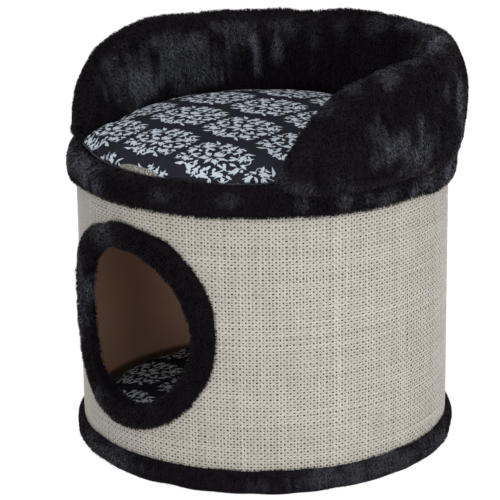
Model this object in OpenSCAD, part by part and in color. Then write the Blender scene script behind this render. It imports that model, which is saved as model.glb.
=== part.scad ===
// Round cat condo: a drum den in woven sisal with a padded nest on top.
// The origin is on the floor under the drum's axis, and the doorway faces -Y.

/* [Drum] */
// Outside diameter over the woven cover
drum_d = 380; // [350:1:460]
// Height of the tube's top edge above the floor
drum_h = 300; // [290:1:380]
// Wall of the cardboard tube
tube_wall = 4.8; // [3:0.1:8]
// Thickness of the woven cover
weave_t = 2; // [1:0.1:4]
// Gap where the ends of the woven cover meet at the back
weave_seam = 0.6; // [0.4:0.1:2]

/* [Base] */
// Thickness of the base board
base_board_t = 15; // [9:0.5:22]
// Thickness of the cloth under the base
underlay_t = 1.2; // [1:0.1:3]
// Height of the plush strip round the foot
base_trim_h = 24.5; // [20:0.5:34]
// How far that strip stands out from the drum
base_trim_proud = 6; // [3:0.5:10]
// Width of the strip that is folded under the base
base_trim_fold = 18; // [10:1:40]

/* [Doorway] */
// Diameter of the hole cut in the drum
door_d = 178; // [140:1:186]
// How far the doorway sits above the middle of the woven wall
door_raise = 3; // [-8:0.5:8]
// Width of the plush ring on the face of the drum
door_trim_w = 18.5; // [12:0.5:24]
// How far the plush ring stands out from the drum
door_trim_proud = 11; // [6:0.5:20]
// How far the plush ring covers the edge of the hole
door_trim_lip = 8.5; // [4:0.5:14]
// Width of the plush ring inside the drum
door_trim_back_w = 14; // [6:0.5:20]
// Thickness of the plush ring inside the drum
door_trim_back_t = 4; // [2:0.5:5]

/* [Deck and rim] */
// Thickness of the board on top of the drum
top_board_t = 15; // [9:0.5:22]
// Thickness of the plush on that board
deck_t = 4; // [2:0.5:6]
// How far the padded rim reaches down the drum
rim_drop = 20; // [14:0.5:30]
// How far the padded rim rises above the board
rim_rise = 14; // [10:0.5:24]
// How far the padded rim stands out from the drum
rim_proud = 8.5; // [6:0.5:14]
// How far the padded rim reaches in over the board
rim_inset = 14; // [12:0.5:30]
// Thickness of the plush cloth
plush_t = 3; // [2:0.5:5]

/* [Backrest] */
// How far the backrest's foot stands in from the rim's outer face
backrest_setback = 5.5; // [4.5:0.5:10]
// Height of the backrest above the rim, at the back
backrest_h = 95; // [60:1:140]
// Thickness of the backrest where it stands on the rim
backrest_t = 33; // [26:0.5:45]
// How far the backrest swells outward above the rim
backrest_swell = 17; // [0:0.5:24]
// Angle of the open front of the nest
nest_open = 101; // [70:0.2:140]
// Angle over which each arm of the backrest comes up
arm_rise = 12.5; // [6:0.5:18]

/* [Cushions] */
// Thickness of the nest cushion at its crown
nest_cushion_t = 34; // [20:1:60]
// Height of the nest cushion's seam above its underside
nest_seam_h = 5; // [3:0.5:12]
// Room round the den cushion inside the plush ring of the doorway
den_cushion_room = 3.8; // [1:0.2:20]
// Thickness of the den cushion at its crown
den_cushion_t = 28; // [18:1:50]
// Height of the den cushion's seam above its underside
den_seam_h = 6; // [3:0.5:12]
// Thickness of the cushion cloth
cloth_t = 1.2; // [0.8:0.1:2.5]

/* [Label] */
// Width of the sewn label
label_w = 40; // [20:1:60]
// Height of the sewn label
label_h = 11; // [8:1:24]
// Thickness of the sewn label
label_t = 1.2; // [0.8:0.1:2.5]

/* [Staples] */
// Width of a staple
staple_w = 10; // [6:0.5:14]
// How far a staple's legs reach into a board
staple_bite = 7; // [4:0.5:8]
// Thickness of the staple wire
staple_wire = 1; // [0.6:0.1:1.6]
// Staples round the drum into each board
drum_staples = 12; // [6:1:24]
// Staples under the base
foot_staples = 8; // [4:1:16]
// Staples along the inner edge of the rim
edge_staples = 16; // [8:1:24]

/* [Hidden] */
$fn = 96;

// Room for glue between faces that are stuck together
glue_gap = 0.2;
// Room under a soft piece that lies loose
rest_gap = 0.3;
// Room between the backrest and the rim that it is sewn to
sewn_gap = 0.85;
// Room between the backrest's padding and its cover
padding_gap = 0.5;
// Room round the nest cushion as it lifts out
lift_gap = 0.8;
// Depth of a staple's crown below the face that it is driven into
staple_sunk = 0.2;

// Levels
tube_bottom = underlay_t;
base_top = tube_bottom + base_board_t;
deck_bottom = drum_h - top_board_t;
deck_top = drum_h + deck_t;
rim_bottom = drum_h - rim_drop;
rim_top = drum_h + rim_rise;
rim_waist = drum_h - rim_drop / 3;
door_z = (base_trim_h + rim_bottom) / 2 + door_raise;

// Radii
drum_r = drum_d / 2;
tube_r = drum_r - weave_t - glue_gap;
den_r = tube_r - tube_wall;
board_r = den_r - glue_gap;
door_r = door_d / 2;
fold_r = drum_r - base_trim_fold;
rim_r = drum_r + rim_proud;
rim_in_r = drum_r - rim_inset;
rim_crest_r = (rim_in_r + rim_r) / 2 - 1;
foot_out_r = rim_r - backrest_setback;
nest_r = foot_out_r - backrest_t;
nest_front_r = rim_in_r - lift_gap;

// Angles of the backrest, counted from the doorway
arm_from = nest_open / 2;
arm_span = 180 - arm_from;
// Angle over which each arm reaches its full thickness
arm_thickens = 6;
// Height of each arm's tip above the rim
arm_tip_h = 5;
// Angle by which each arm's tip is rounded
tip_nose = 0.6;
// How far an arm's tip starts outside the rim's inner edge
arm_tip_inset = 1;
// Share by which the backrest's rings crowd towards the tips
tip_bunching = 0.3;

// Fullness of the soft sections: a smaller power gives a squarer curve
strip_fullness = 0.7;
bead_fullness = 0.8;
rim_fullness = 0.8;
backrest_fullness = 0.52;
swell_fullness = 0.5;
// Where the backrest's crest lies between its inner and outer foot
crest_share = 0.68;
// Angle over which the backrest's outer face swells behind the tip
swell_opens = 25;
// Power that crowds the wall's points towards its foot
wall_bunching = 1.5;
// Angle over which the backrest's hollow opens behind the tip
hollow_opens = 4;
// Powers of a cushion's dome, and the share of its underside that lies flat
dome_power = 2.4;
dome_fullness = 0.6;
flat_share = 0.85;

// Counts of points on round forms
arc_steps = 8;
door_steps = 60;
arm_steps = 44;
foam_skip = 2;
wall_steps = 6;
cushion_sectors = 60;
cushion_rings = 5;
label_sectors = 28;

function lerp(a, b, t) = a + (b - a) * t;
function reverse(list) = [for (i = [len(list) - 1:-1:0]) list[i]];

// A point at an angle from the doorway, turning towards +X
function polar(r, angle, z) = [r * sin(angle), -r * cos(angle), z];

// A closed skin through a first point, rings of equal length and a last point
module pole_loft(first, rings, last) {
    n = len(rings[0]);
    k = len(rings);
    points = concat([first], [for (ring = rings) each ring], [last]);
    faces = concat(
        [for (j = [0:n - 1]) [0, 1 + j, 1 + (j + 1) % n]],
        [for (i = [0:k - 2], j = [0:n - 1])
            let (a = 1 + i * n + j, b = 1 + i * n + (j + 1) % n)
            each [[a, b + n, b], [a, a + n, b + n]]],
        [for (j = [0:n - 1]) [k * n + 1, 1 + (k - 1) * n + (j + 1) % n, 1 + (k - 1) * n + j]]
    );
    polyhedron(points, faces);
}

// A closed skin through rings that come round to the first again
module ring_loft(rings) {
    n = len(rings[0]);
    k = len(rings);
    faces = [for (i = [0:k - 1], j = [0:n - 1])
        let (a = i * n + j, b = i * n + (j + 1) % n)
        let (c = (i + 1) % k * n + j, d = (i + 1) % k * n + (j + 1) % n)
        each [[a, d, b], [a, c, d]]];
    polyhedron([for (ring = rings) each ring], faces);
}

// The doorway, as a tool that cuts the front of the drum only
module door_cut() {
    translate([0, 0, door_z])
        rotate([90, 0, 0])
            cylinder(h = drum_d, r = door_r);
}

// A staple with its crown's outer face on the XY plane and its legs pointing down
module staple(leg) {
    translate([-staple_w / 2, -staple_wire / 2, -staple_wire])
        cube([staple_w, staple_wire, staple_wire]);
    for (side = [-1, 1])
        translate([side * (staple_w - staple_wire) / 2 - staple_wire / 2, -staple_wire / 2, -leg])
            cube([staple_wire, staple_wire, leg - staple_wire / 2]);
}

// Staples driven in through the tube at one level
module drum_staple_ring(z) {
    for (i = [0:drum_staples - 1])
        rotate([0, 0, 360 * (i + 0.5) / drum_staples])
            translate([0, -(tube_r - staple_sunk), z])
                rotate([90, 0, 0])
                    staple(tube_wall + staple_bite);
}

module base_underlay() {
    color("#2b2a2c")
        cylinder(h = underlay_t, r = fold_r - glue_gap);
}

module foot_staple_set() {
    color("silver")
        for (i = [0:foot_staples - 1])
            rotate([0, 0, 360 * i / foot_staples])
                translate([0, fold_r - 2 * staple_w, staple_sunk])
                    rotate([180, 0, 0])
                        staple(underlay_t + staple_bite);
}

module base_board() {
    color("#b08d62")
        translate([0, 0, tube_bottom])
            cylinder(h = base_board_t, r = board_r);
}

// The strip's section: a soft half round on the drum, folded under the base
module base_trim() {
    inside = drum_r + glue_gap;
    swell = [for (i = [0:2 * arc_steps])
        let (a = 90 * (i / arc_steps - 1))
        [inside + base_trim_proud * pow(cos(a), strip_fullness), base_trim_h / 2 * (1 + sin(a))]];
    fold = [[inside, underlay_t], [fold_r, underlay_t], [fold_r, 0]];
    color("#16161a")
        rotate_extrude()
            polygon(concat(swell, fold));
}

module base_staple_set() {
    color("silver")
        drum_staple_ring(tube_bottom + base_board_t / 2);
}

module drum_tube() {
    color("#8a6a4c")
        difference() {
            translate([0, 0, tube_bottom])
                cylinder(h = drum_h - tube_bottom, r = tube_r);
            cylinder(h = drum_h + 1, r = den_r);
            door_cut();
        }
}

module woven_cover() {
    color("#d9cfbc")
        difference() {
            translate([0, 0, tube_bottom])
                cylinder(h = drum_h - tube_bottom, r = drum_r);
            cylinder(h = drum_h + 1, r = tube_r + glue_gap);
            door_cut();
            translate([-weave_seam / 2, 0, 0])
                cube([weave_seam, drum_d, drum_h + 1]);
        }
}

// The ring's section, as distances from the doorway's axis and from the drum's face
function door_bead(inner, outer, base, top, steps) = [for (i = [0:steps])
    let (a = 180 * (1 - i / steps))
    [(inner + outer) / 2 + (outer - inner) / 2 * cos(a), base + (top - base) * pow(sin(a), bead_fullness)]];
function door_section() =
    let (inner = door_r - door_trim_lip)
    let (back = -(drum_r - den_r) - glue_gap)
    concat(
        door_bead(inner, door_r + door_trim_w, glue_gap, door_trim_proud, arc_steps),
        [for (i = [2:-1:0]) [lerp(door_r - glue_gap, door_r + door_trim_w, i / 3), glue_gap]],
        [[door_r - glue_gap, back]],
        reverse(door_bead(inner, door_r + door_trim_back_w, back, back - door_trim_back_t, arc_steps - 3))
    );

// A plush ring that grips the edge of the hole, a circle that is bent round the drum
module door_trim() {
    section = door_section();
    color("#16161a")
        ring_loft([for (i = [0:door_steps - 1])
            let (t = 360 * i / door_steps)
            [for (p = section)
                let (angle = p[0] * cos(t) / drum_r * 180 / PI)
                polar(drum_r + p[1], angle, door_z + p[0] * sin(t))]]);
}

module top_board() {
    color("#b08d62")
        translate([0, 0, deck_bottom])
            cylinder(h = top_board_t, r = board_r);
}

module top_staple_set() {
    color("silver")
        drum_staple_ring(drum_h - top_board_t / 2);
}

module deck_cover() {
    color("#1b1b20")
        translate([0, 0, drum_h])
            cylinder(h = deck_t, r = rim_in_r - glue_gap);
}

// Height of the rim's upper face at a radius, or of the deck inside it
function rim_z(r) = r < rim_in_r ? deck_top
    : r < rim_crest_r ? lerp(deck_top, rim_top, sin(90 * (r - rim_in_r) / (rim_crest_r - rim_in_r)))
    : lerp(rim_waist, rim_top, sqrt(max(0, 1 - pow((r - rim_crest_r) / (rim_r - rim_crest_r), 2))));

// The rim's outline from its lower edge on the drum, over the top, to the board, drawn in by a depth
function rim_outline(depth) =
    let (foot = drum_r + glue_gap)
    let (low = rim_bottom + depth)
    let (outer = rim_r - depth)
    let (top = rim_top - depth)
    let (inner = rim_in_r + depth)
    concat(
        [for (i = [0:arc_steps])
            let (a = 90 * i / arc_steps)
            [lerp(foot, outer, pow(sin(a), rim_fullness)), lerp(rim_waist, low, cos(a))]],
        [for (i = [1:arc_steps])
            let (a = 90 * i / arc_steps)
            [lerp(rim_crest_r, outer, cos(a)), lerp(rim_waist, top, sin(a))]],
        [for (i = [arc_steps - 1:-1:0])
            let (t = i / arc_steps)
            [lerp(inner, rim_crest_r, t), lerp(deck_top - depth, top, sin(90 * t))]],
        [[inner, drum_h]]
    );

module rim_foam() {
    color("#c9c4b8")
        rotate_extrude()
            polygon(concat(rim_outline(plush_t + glue_gap), [[drum_r + glue_gap, drum_h]]));
}

module rim_band() {
    color("#16161a")
        rotate_extrude()
            polygon(concat(rim_outline(0), reverse(rim_outline(plush_t))));
}

module rim_staple_set() {
    color("silver")
        for (i = [0:edge_staples - 1])
            rotate([0, 0, 360 * i / edge_staples])
                translate([0, rim_in_r + plush_t / 2, drum_h + staple_wire])
                    staple(staple_wire + staple_bite);
}

// The backrest at an angle past the arm's tip: its growth, its crest and its inner foot
function arm_growth(a) = 1 - exp(-a / arm_rise);
function crest_z(a) = rim_top + lerp(arm_tip_h, backrest_h, arm_growth(a));
function foot_in_r(a) = lerp(rim_in_r + arm_tip_inset, nest_r, 1 - exp(-a / arm_thickens));
function under_z(r) = rim_z(r) + sewn_gap;

// The backrest's section from its inner foot, over the crest, to its outer foot
function wall_point(a, depth, side, b) =
    let (inner = foot_in_r(a) + depth)
    let (outer = foot_out_r - depth)
    let (crest_r = lerp(inner, outer, crest_share))
    let (foot = side < 0 ? inner : outer)
    let (up = pow(sin(b), backrest_fullness))
    let (opening = 1 - exp(-a / swell_opens))
    let (swell = side < 0 ? 0 : backrest_swell * opening * pow(sin(180 * up), swell_fullness))
    [lerp(crest_r, foot, pow(cos(b), backrest_fullness)) + swell, lerp(under_z(foot), crest_z(a) - depth, up)];
function wall_turn(i) = 90 * pow(i / wall_steps, wall_bunching);
function wall_path(a, depth) = concat(
    [for (i = [0:wall_steps]) wall_point(a, depth, -1, wall_turn(i))],
    [for (i = [wall_steps - 1:-1:0]) wall_point(a, depth, 1, wall_turn(i))]
);

// The line under the backrest, and its hollow, which opens from nothing at the arm's tip
function foot_path(a, depth) = [for (i = [0:2 * wall_steps])
    let (r = lerp(foot_in_r(a) + depth, foot_out_r - depth, i / (2 * wall_steps)))
    [r, under_z(r)]];
function hollow_path(a, depth) =
    let (low = foot_path(a, depth))
    let (high = wall_path(a, depth))
    let (open = 1 - exp(-a / hollow_opens))
    [for (i = [0:len(low) - 1]) lerp(low[i], high[i], open)];

// Angles from one arm's tip round the back to the other, closer together at the tips
function arm_angle(t) =
    let (u = 1 - abs(2 * t - 1))
    let (a = arm_from + arm_span * u * lerp(1 - tip_bunching, 1, u))
    t < 0.5 ? a : 360 - a;
arm_angles = [for (i = [0:arm_steps]) arm_angle(i / arm_steps)];
function past_tip(angle) = min(angle, 360 - angle) - arm_from;
function sweep(loop, angle) = [for (p = loop) polar(p[0], angle, p[1])];
function tip(angle, nose) = polar((foot_in_r(0) + foot_out_r) / 2, angle + nose, rim_top + 0.8 * arm_tip_h);

module backrest_cover() {
    rings = [for (angle = arm_angles)
        let (a = past_tip(angle))
        sweep(concat(wall_path(a, 0), reverse(hollow_path(a, plush_t))), angle)];
    color("#16161a")
        pole_loft(tip(arm_angles[0], -tip_nose), rings, tip(arm_angles[arm_steps], tip_nose));
}

module backrest_foam() {
    depth = plush_t + padding_gap;
    angles = [for (i = [foam_skip:arm_steps - foam_skip]) arm_angles[i]];
    rings = [for (angle = angles)
        let (a = past_tip(angle))
        sweep(concat(hollow_path(a, depth), reverse(foot_path(a, depth))), angle)];
    end_a = past_tip(angles[0]);
    end_r = (foot_in_r(end_a) + foot_out_r) / 2;
    end_z = lerp(under_z(end_r), crest_z(end_a), 0.3);
    color("#c9c4b8")
        pole_loft(polar(end_r, angles[0], end_z), rings, polar(end_r, 360 - angles[0], end_z));
}

// A cushion's upper and lower faces at a share u of its radius, drawn in by a depth
function cushion_top(u, seam, crown, depth) =
    lerp(seam, crown - depth, pow(1 - pow(u, dome_power), dome_fullness));
function cushion_under(u, seam, bottom, depth) =
    lerp(bottom + depth, seam, pow(max(0, (u - flat_share) / (1 - flat_share)), 2));
function ring_shares() = [for (i = [1:cushion_rings]) sin(90 * i / cushion_rings)];

// Profiles from the axis below to the axis above, as [radius, height] pairs for a cushion of radius 1
function panel_profile(seam, crown, depth) = concat(
    [for (u = concat([0], ring_shares())) [u * (1 - depth), cushion_top(u, seam, crown, cloth_t)]],
    [for (u = reverse(concat([0], ring_shares()))) [u, cushion_top(u, seam, crown, 0)]]
);
function base_profile(seam, bottom, depth) = concat(
    [for (u = concat([0], ring_shares())) [u, cushion_under(u, seam, bottom, 0)]],
    [for (u = reverse(concat([0], ring_shares()))) [u * (1 - depth), cushion_under(u, seam, bottom, cloth_t)]]
);
function fill_profile(seam, bottom, crown, depth) =
    let (inset = cloth_t + rest_gap)
    concat(
        [for (u = concat([0], ring_shares())) [u * (1 - depth), cushion_under(u, seam, bottom, inset)]],
        [for (i = [cushion_rings - 2:-1:0])
            let (u = ring_shares()[i])
            [u * (1 - depth), cushion_top(u, seam, crown, inset)]],
        [[0, cushion_top(0, seam, crown, inset)]]
    );

nest_bottom = deck_top + rest_gap;
nest_seam = nest_bottom + nest_seam_h;
nest_crown = nest_bottom + nest_cushion_t;
cloth_share = cloth_t / nest_front_r;
fill_share = (cloth_t + rest_gap) / nest_r;

// The nest cushion fills the nest and swells forward into its open front, well clear of the arms' tips
arm_lead = 4;
function nest_edge_r(angle) =
    let (a = past_tip(angle) + arm_lead)
    min(nest_front_r, a < 0 ? nest_front_r : foot_in_r(a) - lift_gap);

// A cushion of the nest's outline from a profile
module nest_loft(profile) {
    last = len(profile) - 1;
    rings = [for (i = [1:last - 1])
        [for (j = [0:cushion_sectors - 1])
            let (angle = 360 * j / cushion_sectors)
            polar(nest_edge_r(angle) * profile[i][0], angle, profile[i][1])]];
    pole_loft([0, 0, profile[0][1]], rings, [0, 0, profile[last][1]]);
}

module nest_cushion_base() {
    color("#23252f")
        nest_loft(base_profile(nest_seam, nest_bottom, cloth_share));
}

module nest_cushion_fill() {
    color("white")
        nest_loft(fill_profile(nest_seam, nest_bottom, nest_crown, fill_share));
}

module nest_cushion_panel() {
    color("#8f98a6")
        nest_loft(panel_profile(nest_seam, nest_crown, cloth_share));
}

// An oval label that follows the front slope of the nest cushion
module nest_cushion_label() {
    middle_r = nest_front_r - label_h / 2 - cloth_t;
    function label_point(share, turn, lift) =
        let (r = middle_r - label_h / 2 * share * sin(turn))
        let (angle = label_w / 2 * share * cos(turn) / middle_r * 180 / PI)
        polar(r, angle, cushion_top(r / nest_front_r, nest_seam, nest_crown, 0) + rest_gap + lift);
    function label_ring(share, lift) =
        [for (j = [0:label_sectors - 1]) label_point(share, 360 * j / label_sectors, lift)];
    color("#77766a")
        pole_loft(
            label_point(0, 0, 0),
            [label_ring(0.5, 0), label_ring(1, 0), label_ring(1, label_t), label_ring(0.5, label_t)],
            label_point(0, 0, label_t)
        );
}

den_bottom = base_top + rest_gap;
den_seam = den_bottom + den_seam_h;
den_crown = den_bottom + den_cushion_t;
den_cushion_r = den_r - glue_gap - door_trim_back_t - den_cushion_room;

// A round cushion from a profile
module den_loft(profile) {
    rotate_extrude()
        polygon([for (p = profile) [p[0] * den_cushion_r, p[1]]]);
}

module den_cushion_base() {
    color("#23252f")
        den_loft(base_profile(den_seam, den_bottom, cloth_t / den_cushion_r));
}

module den_cushion_fill() {
    color("white")
        den_loft(fill_profile(den_seam, den_bottom, den_crown, (cloth_t + rest_gap) / den_cushion_r));
}

module den_cushion_panel() {
    color("#8f98a6")
        den_loft(panel_profile(den_seam, den_crown, cloth_t / den_cushion_r));
}

base_underlay();
foot_staple_set();
base_board();
base_trim();
base_staple_set();
drum_tube();
woven_cover();
door_trim();
top_board();
top_staple_set();
deck_cover();
rim_foam();
rim_band();
rim_staple_set();
backrest_foam();
backrest_cover();
nest_cushion_base();
nest_cushion_fill();
nest_cushion_panel();
nest_cushion_label();
den_cushion_base();
den_cushion_fill();
den_cushion_panel();
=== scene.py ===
"""Looks of the round cat condo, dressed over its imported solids.

Lengths are metres and angles degrees, unless a comment says otherwise.
"""

import math

import bmesh
import bpy
import numpy as np
from mathutils import Matrix, Vector
from mathutils.bvhtree import BVHTree


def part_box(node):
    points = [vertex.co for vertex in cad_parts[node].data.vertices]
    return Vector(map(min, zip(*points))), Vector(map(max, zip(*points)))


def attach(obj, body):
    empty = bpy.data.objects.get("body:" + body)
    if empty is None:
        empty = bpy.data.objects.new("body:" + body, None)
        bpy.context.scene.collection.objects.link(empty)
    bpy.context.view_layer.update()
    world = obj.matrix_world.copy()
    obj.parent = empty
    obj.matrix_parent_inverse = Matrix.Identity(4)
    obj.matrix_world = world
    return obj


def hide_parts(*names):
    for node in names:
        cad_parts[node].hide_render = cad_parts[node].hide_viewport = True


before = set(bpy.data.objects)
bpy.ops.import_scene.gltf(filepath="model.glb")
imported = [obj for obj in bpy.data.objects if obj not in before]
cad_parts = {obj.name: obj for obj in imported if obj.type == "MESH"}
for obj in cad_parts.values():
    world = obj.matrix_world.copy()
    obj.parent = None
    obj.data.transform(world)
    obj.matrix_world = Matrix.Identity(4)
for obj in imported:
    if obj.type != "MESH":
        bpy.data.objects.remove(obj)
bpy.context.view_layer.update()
scene = bpy.context.scene
scene.view_settings.view_transform = "Standard"


# Sizes read from the solids, rounded
def size_of(node):
    """A node's reach towards +X, its bottom and its top."""
    low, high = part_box(node)
    return round(high.x, 4), round(low.z, 4), round(high.z, 4)


GLUE, LIFT_GAP, SKIN_GAP = 0.0002, 0.0008, 0.0001
DRUM_R, _, DRUM_H = size_of("woven_cover")
UNDERLAY_R, _, UNDERLAY_T = size_of("base_underlay")
FOOT_R, _, FOOT_H = size_of("base_trim")
FOOT_PROUD, FOOT_FOLD_R = round(FOOT_R - DRUM_R - GLUE, 4), round(UNDERLAY_R + GLUE, 4)
DOOR_Z = round(sum(corner.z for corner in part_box("door_trim")) / 2, 5)
RIM_R, RIM_LOW, RIM_TOP = size_of("rim_band")
DECK_R, _, DECK_TOP = size_of("deck_cover")
RIM_IN = round(DECK_R + GLUE, 4)
_, NEST_BOTTOM, NEST_SEAM = size_of("nest_cushion_base")
DEN_R, DEN_BOTTOM, DEN_SEAM = size_of("den_cushion_base")
NEST_CROWN, DEN_CROWN = size_of("nest_cushion_panel")[2], size_of("den_cushion_panel")[2]
NEST_FRONT_R = round(-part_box("nest_cushion_base")[0].y, 4)
NEST_R = round(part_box("nest_cushion_base")[1].y + LIFT_GAP, 4)

# Sizes of the plush forms under their pile, and where the pile ends
PILE_ROOM, FOOT_PILE_ROOM = 0.0015, 0.001
BARE_R, FOOT_BARE = DRUM_R + 0.0006, 0.0025
PILE_LOW_OUT, PILE_LOW_IN = 0.2925, DECK_TOP + 0.0035
DOOR_R, DOOR_LIP, DOOR_RING_W, DOOR_PROUD = 0.089, 0.0085, 0.0178, 0.0088
DOOR_BACK, DOOR_BACK_W, DOOR_BACK_T = -0.0072, 0.0125, 0.003
RIM_WAIST, RIM_CREST = 0.29333, 0.18625
ARM_FROM = 50.5
ARM_SPAN = 180 - ARM_FROM
ARM_TIP_H, ARM_TIP_INSET, ARM_LIP = 0.005, 0.001, 0.002
ARM_TIP_Z, ARM_NOSE = RIM_TOP + 0.003, 0.6
BACK_H, BACK_SWELL, BACK_FOOT_R, BACK_GAP = 0.0955, 0.0084, 0.193, 0.0009


# Points, waves and meshes
def polar(r, angle, z):
    """Points at an angle in degrees from the doorway, turning towards +X."""
    a = np.radians(angle)
    return np.stack(np.broadcast_arrays(r * np.sin(a), -r * np.cos(a), z), -1)


def angle_of(points):
    return np.degrees(np.arctan2(points[:, 0], -points[:, 1]))


def radius_of(points):
    return np.hypot(points[:, 0], points[:, 1])


def turn_gap(angle, at):
    """How far an angle lies from another, the shorter way round."""
    return (angle - at + 180) % 360 - 180


def hump(gap, wide):
    """1 where a gap is nought, falling off smoothly to both sides."""
    return np.exp(-(gap / wide) ** 2)


def waves(points, size, seed, layers=7):
    """Soft bumps over points, about size across and mostly from -1 to 1."""
    rng = np.random.default_rng(seed)
    total = np.zeros(len(points))
    for _ in range(layers):
        way = rng.normal(size=3)
        way *= 2 * math.pi / size * rng.uniform(0.5, 1.5) / np.linalg.norm(way)
        total += np.sin(points @ way + rng.uniform(0, 2 * math.pi))
    return total * (1.4 / layers) ** 0.5


def ease(x, low, high):
    t = np.clip((x - low) / (high - low), 0, 1)
    return t * t * (3 - 2 * t)


def unit(v):
    return v / np.maximum(np.linalg.norm(v, axis=-1, keepdims=True), 1e-12)


def points_of(mesh, kind="co"):
    """The places of a mesh's points, or their normals."""
    values = np.zeros(len(mesh.vertices) * 3, np.float32)
    mesh.vertices.foreach_get(kind, values)
    return values.reshape(-1, 3).astype(float)


def move_points(mesh, co):
    mesh.vertices.foreach_set("co", np.asarray(co, np.float32).ravel())
    mesh.update()


def add_object(name, data):
    obj = bpy.data.objects.new(name, data)
    scene.collection.objects.link(obj)
    return obj


def shade_smooth(mesh):
    mesh.polygons.foreach_set("use_smooth", [True] * len(mesh.polygons))


def piece(name, bm):
    """The shape in bm as an object of the scene."""
    mesh = bpy.data.meshes.new(name)
    bm.to_mesh(mesh)
    bm.free()
    shade_smooth(mesh)
    return add_object(name, mesh)


def grid(across, along):
    """A grid of faces with the column and row of each of its points."""
    bm = bmesh.new()
    bmesh.ops.create_grid(bm, x_segments=across, y_segments=along, size=1)
    co = np.array([v.co for v in bm.verts])
    column = np.rint((co[:, 0] + 1) / 2 * across).astype(int)
    row = np.rint((co[:, 1] + 1) / 2 * along).astype(int)
    return bm, column, row


def place(bm, co):
    for v, p in zip(bm.verts, co):
        v.co = p


def close_up(bm):
    """Joins the edges of a grid that has been brought round onto itself."""
    bmesh.ops.remove_doubles(bm, verts=bm.verts, dist=1e-6)
    bmesh.ops.dissolve_degenerate(bm, edges=bm.edges, dist=1e-7)
    bmesh.ops.recalc_face_normals(bm, faces=bm.faces)


def lofted(name, rings, closed):
    """A skin over closed rings of points. The rings close on each other or end in points."""
    rings = np.concatenate([rings, rings[:, :1]], 1)
    if closed:
        rings = np.concatenate([rings, rings[:1]], 0)
    bm, column, row = grid(rings.shape[0] - 1, rings.shape[1] - 1)
    place(bm, rings[column, row])
    close_up(bm)
    return piece(name, bm)


def in_order(bm):
    """Sorts points and faces by their place, because spin leaves its faces in another order each run."""
    way = Vector((0.731, 0.4179, 0.5393))
    bm.verts.sort(key=lambda v: v.co.dot(way))
    bm.faces.sort(key=lambda f: f.calc_center_median().dot(way))


def turned(name, section, steps):
    """A closed section of (radius, height) pairs, turned round the upright axis."""
    bm = bmesh.new()
    verts = [bm.verts.new((r, 0, z)) for r, z in section]
    edges = [bm.edges.new((verts[i - 1], verts[i])) for i in range(len(verts))]
    bmesh.ops.spin(
        bm, geom=verts + edges, axis=(0, 0, 1), cent=(0, 0, 0),
        angle=2 * math.pi, steps=steps, use_merge=True)
    close_up(bm)
    in_order(bm)
    return piece(name, bm)


def attribute(mesh, name, values):
    layer = mesh.attributes.new(name, "FLOAT", "POINT")
    layer.data.foreach_set("value", np.asarray(values, np.float32))


def thicken(obj, thickness, offset):
    wall = obj.modifiers.new("thickness", "SOLIDIFY")
    wall.thickness, wall.offset = thickness, offset


def dress(obj, material, body, slot, *stands_for):
    obj.data.materials.append(material)
    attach(obj, body)
    if stands_for:
        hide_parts(*stands_for)
    return obj


# Shader helpers
def new_node(near, kind):
    """A shader node in the same tree as another node or a socket."""
    return near.id_data.nodes.new("ShaderNode" + kind)


def feed(socket, value):
    if isinstance(value, bpy.types.NodeSocket):
        socket.id_data.links.new(value, socket)
    else:
        socket.default_value = value


def feed_all(sockets, values):
    for socket, value in zip(sockets, values):
        feed(socket, value)


def fill_in(node, **values):
    """Feeds a node's inputs by their names, with _ for a space, and gives its outputs."""
    for label, value in values.items():
        feed(node.inputs[label.replace("_", " ")], value)
    return node.outputs


def first_socket(values):
    return next(v for v in values if isinstance(v, bpy.types.NodeSocket))


def calc(operation, *values, kind="Math"):
    node = new_node(first_socket(values), kind)
    node.operation = operation
    feed_all(node.inputs, values)
    return node.outputs[0]


def times(a, b):
    return calc("MULTIPLY", a, b)


def minus(a, b):
    return calc("SUBTRACT", a, b)


def between(value, low, high, start=0.0, end=1.0):
    """A smooth step of value from low to high."""
    node = new_node(value, "MapRange")
    node.interpolation_type = "SMOOTHSTEP"
    feed_all(node.inputs, (value, low, high, start, end))
    return node.outputs[0]


def mixed(share, a, b):
    node = new_node(share, "Mix")
    node.data_type = "RGBA"
    feed_all((node.inputs[0], node.inputs[6], node.inputs[7]), (share, a, b))
    return node.outputs[2]


def noise(where, scale, detail=3.0, rough=0.55, stretch=None):
    if stretch:
        where = fill_in(new_node(where, "Mapping"), Vector=where, Scale=stretch)[0]
    node = new_node(where, "TexNoise")
    return fill_in(node, Vector=where, Scale=scale, Detail=detail, Roughness=rough)[0]


def read(shader, name):
    node = new_node(shader, "Attribute")
    node.attribute_name = name
    return node.outputs["Fac"]


def split(vector):
    return fill_in(new_node(vector, "SeparateXYZ"), Vector=vector)


def joined(x, y):
    return fill_in(new_node(x, "CombineXYZ"), X=x, Y=y)[0]


def paint(shader, colour):
    fill_in(shader, Base_Color=colour)


def bump(shader, height, strength, distance):
    node = new_node(shader, "Bump")
    fill_in(shader, Normal=fill_in(node, Height=height, Strength=strength, Distance=distance)[0])


def finish_of(name, **constants):
    """A material, its shader with constants set on its own sockets, and the place on the object."""
    material = bpy.data.materials.new(name)
    material.use_nodes = True
    shader = material.node_tree.nodes["Principled BSDF"]
    fill_in(shader, **constants)
    where = new_node(shader, "TexCoord").outputs["Object"]
    return material, shader, where


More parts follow.
